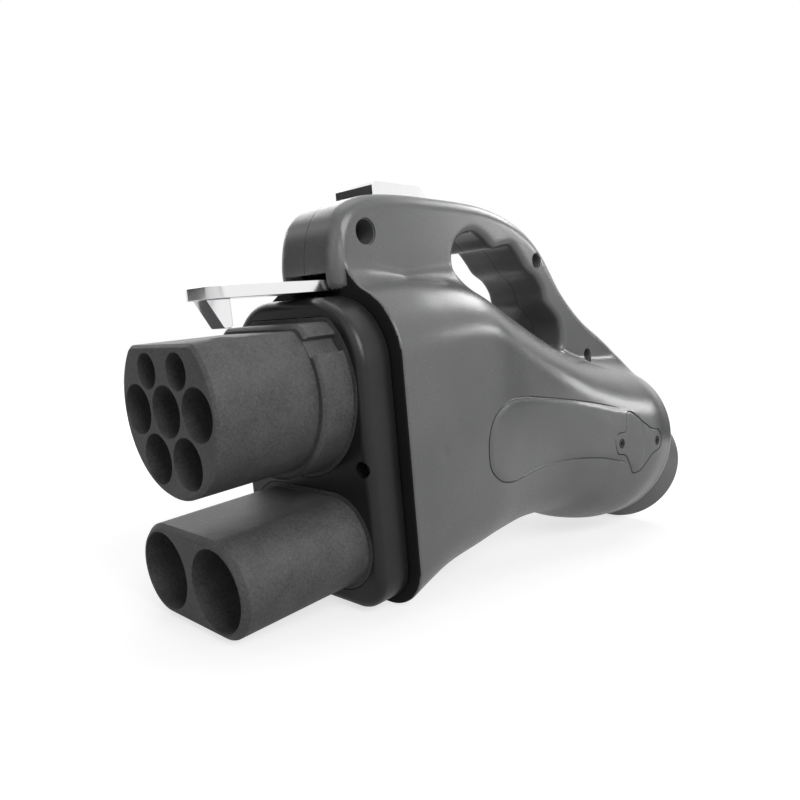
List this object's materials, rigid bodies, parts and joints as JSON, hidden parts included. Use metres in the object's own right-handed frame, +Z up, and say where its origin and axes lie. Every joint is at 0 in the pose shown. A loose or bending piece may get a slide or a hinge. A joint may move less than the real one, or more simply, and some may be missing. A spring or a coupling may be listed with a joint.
{
  "type": "ev charging adapter",
  "caption": "Handheld adapter with a combined plug at the front, a pistol handle with a hook latch and release button, and a round pin inlet at the back.",
  "frame": {"origin": "bottom centre of the bounding box, with the part lying on its rim's lower edge and its rear collar", "axes": "+X to the adapter's right seen from behind it, +Y from the front plug to the rear inlet, +Z up"},
  "size_m": [0.0826, 0.2994, 0.1422],
  "materials": {
    "nose_plastic": "moulded, fine matte grain",
    "plate_plastic": "moulded, near black, satin edge",
    "housing_plastic": "moulded, dark grey, semi gloss",
    "bright_chrome": "bright plated",
    "seal_rubber": "moulded",
    "steel": "plain",
    "dark_screw": "blackened",
    "plated_contact": "silver plated",
    "copper": "bare copper",
    "inlet_plastic": "moulded, matte",
    "board": "solder mask with dark parts"
  },
  "bodies": {
    "housing": {"ac_nose": "nose_plastic", "dc_nose": "nose_plastic", "front_plate": "plate_plastic", "plate_seal": "seal_rubber", "plate_screws": "dark_screw", "shell_right": "housing_plastic", "shell_left": "housing_plastic", "housing_screws": "dark_screw", "service_cover": "housing_plastic", "service_cover_screws": "dark_screw", "service_socket": "plate_plastic", "button_spring": "steel", "latch_pin": "steel", "latch_spring": "steel", "dc_contact_plus": "plated_contact", "dc_contact_minus": "plated_contact", "pe_contact": "plated_contact", "pilot_contact": "plated_contact", "proximity_contact": "plated_contact", "contact_retainer": "plate_plastic", "retainer_screws": "dark_screw", "busbar_plus": "copper", "busbar_minus": "copper", "ground_strap": "copper", "busbar_bolts": "dark_screw", "rear_inlet": "inlet_plastic", "inlet_seal": "seal_rubber", "inlet_pin_plus": "plated_contact", "inlet_pin_minus": "plated_contact", "inlet_ground_pin": "plated_contact", "inlet_signal_pins": "plated_contact", "control_board": "board"},
    "latch": {"latch_lever": "bright_chrome"},
    "button": {"release_button": "bright_chrome"}
  },
  "joints": [
    {"name": "button_slide", "type": "slide", "parent": "housing", "child": "button", "axis": [0, 0.1663, -0.9861], "range_m": [0, 0.003], "stiffness_N_per_m": 700, "springref_m": -0.003, "deforming": ["button_spring"]},
    {"name": "latch_hinge", "type": "hinge", "parent": "housing", "child": "latch", "pos_m": [0, -0.08685, 0.10382], "axis": [-1, 0, 0], "range_deg": [0, 7.21], "stiffness_Nm_per_rad": 0.3, "springref_deg": -17.19, "deforming": ["latch_spring"]}
  ],
  "couplings": [
    {"joint": "latch_hinge", "follows": "button_slide", "rad_per_m": 41.667}
  ]
}
